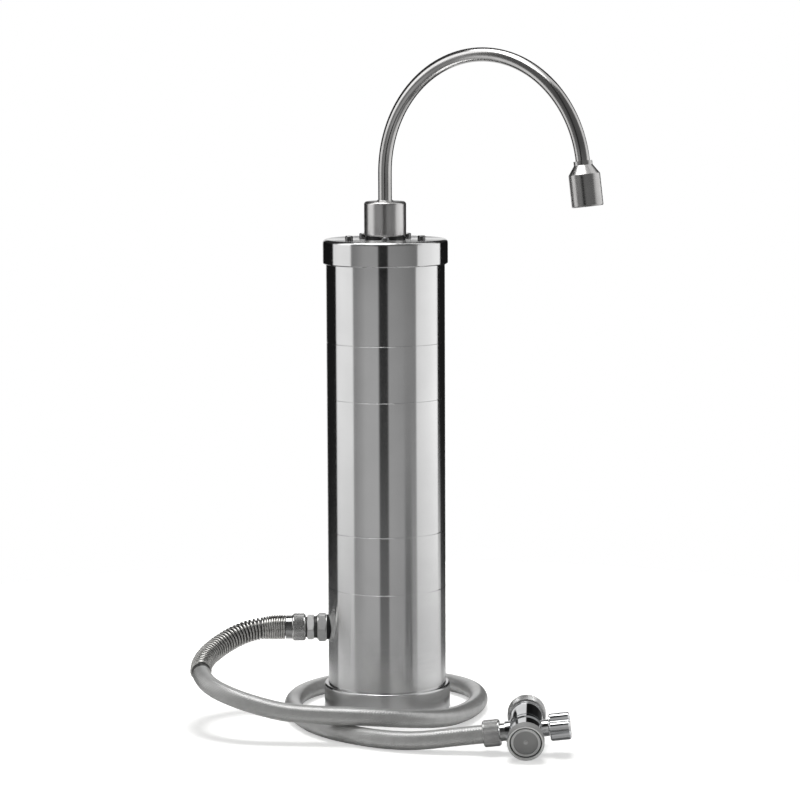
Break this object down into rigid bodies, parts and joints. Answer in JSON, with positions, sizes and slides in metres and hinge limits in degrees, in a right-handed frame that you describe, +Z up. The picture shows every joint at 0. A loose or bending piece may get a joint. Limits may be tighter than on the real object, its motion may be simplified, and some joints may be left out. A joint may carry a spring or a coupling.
{
  "type": "countertop water filter",
  "caption": "Upright stainless housing with a swivelling gooseneck spout on its cap and an armoured hose to a diverter valve that screws onto a kitchen tap.",
  "frame": {"origin": "centre of the underside of the foot, on the worktop", "axes": "+Z up along the housing, -Y to the front, where the hose crosses, -X to the side that the hose leaves from"},
  "size_m": [0.2994, 0.2443, 0.4968],
  "materials": {
    "foot_rubber": "matte black rubber",
    "plinth_steel": "turned stainless steel, finely brushed",
    "housing_steel": "stainless steel tube, brushed along its length",
    "screw_steel": "plain stainless steel",
    "hub_steel": "turned stainless steel",
    "spout_steel": "polished stainless steel tube",
    "cartridge_plastic": "white moulded plastic",
    "carbon_block": "pressed black carbon",
    "filter_wrap": "white felt wrap",
    "seal_rubber": "black rubber",
    "seal_plastic": "white bearing plastic",
    "collar_plastic": "black bearing plastic",
    "aerator_plastic": "grey moulded plastic",
    "fitting_nickel": "satin nickel plate",
    "knurled_nickel": "nickel plate with a fine diamond knurl",
    "hose_braid": "silver grey hose with a fine braid under a clear skin",
    "spring_steel": "bright spring wire",
    "valve_chrome": "polished chrome plate"
  },
  "bodies": {
    "housing": {"foot_pad": "foot_rubber", "base_plinth": "plinth_steel", "plinth_screws": "screw_steel", "lower_housing": "housing_steel", "lower_band": "housing_steel", "middle_housing": "housing_steel", "upper_band": "housing_steel", "upper_housing": "housing_steel", "seam_rings": "housing_steel", "cartridge_foot_ring": "seal_rubber", "cartridge_lower_cap": "cartridge_plastic", "cartridge_core": "cartridge_plastic", "cartridge_block": "carbon_block", "cartridge_wrap": "filter_wrap", "cartridge_upper_cap": "cartridge_plastic", "cartridge_neck_seal": "seal_rubber", "inlet_gasket": "seal_rubber", "inlet_lock_nut": "fitting_nickel", "inlet_nipple": "fitting_nickel", "hose_adapter": "fitting_nickel", "hose_nut": "knurled_nickel", "hose_sleeve": "fitting_nickel", "hose": "hose_braid", "bend_guard": "spring_steel", "valve_body": "valve_chrome", "outlet_ring": "valve_chrome", "outlet_disc": "aerator_plastic", "outlet_seal": "seal_rubber", "tap_washer": "seal_rubber", "valve_neck": "fitting_nickel", "valve_hose_nut": "knurled_nickel", "stem_bush": "valve_chrome"},
    "cap": {"cap": "plinth_steel", "cap_seal": "seal_rubber", "cap_screws": "screw_steel", "head_gasket": "seal_rubber", "head_plate": "cartridge_plastic", "cap_collar": "collar_plastic", "hub_washer": "seal_plastic"},
    "spout": {"spout_hub": "hub_steel", "spigot_seals": "seal_rubber", "spigot_clip": "screw_steel", "spout_tube": "spout_steel", "nozzle": "hub_steel", "nozzle_aerator": "aerator_plastic", "nozzle_washer": "seal_rubber"},
    "tap_nut": {"tap_nut": "knurled_nickel"},
    "selector": {"valve_stem": "fitting_nickel", "valve_knob": "valve_chrome"}
  },
  "joints": [
    {"name": "cap_lift", "type": "slide", "parent": "housing", "child": "cap", "axis": [0, 0, 1], "range_m": [0, 0.06]},
    {"name": "spout_swivel", "type": "hinge", "parent": "cap", "child": "spout", "pos_m": [0, 0, 0.3586], "axis": [0, 0, 1], "continuous": true},
    {"name": "tap_nut_turn", "type": "hinge", "parent": "housing", "child": "tap_nut", "pos_m": [0.1003, -0.11183, 0.02216], "axis": [0.0637, 0.9856, 0.1564], "continuous": true},
    {"name": "selector_turn", "type": "hinge", "parent": "housing", "child": "selector", "pos_m": [0.09818, -0.14456, 0.01697], "axis": [0.9899, -0.0823, 0.1152], "range_deg": [0, 90]}
  ]
}
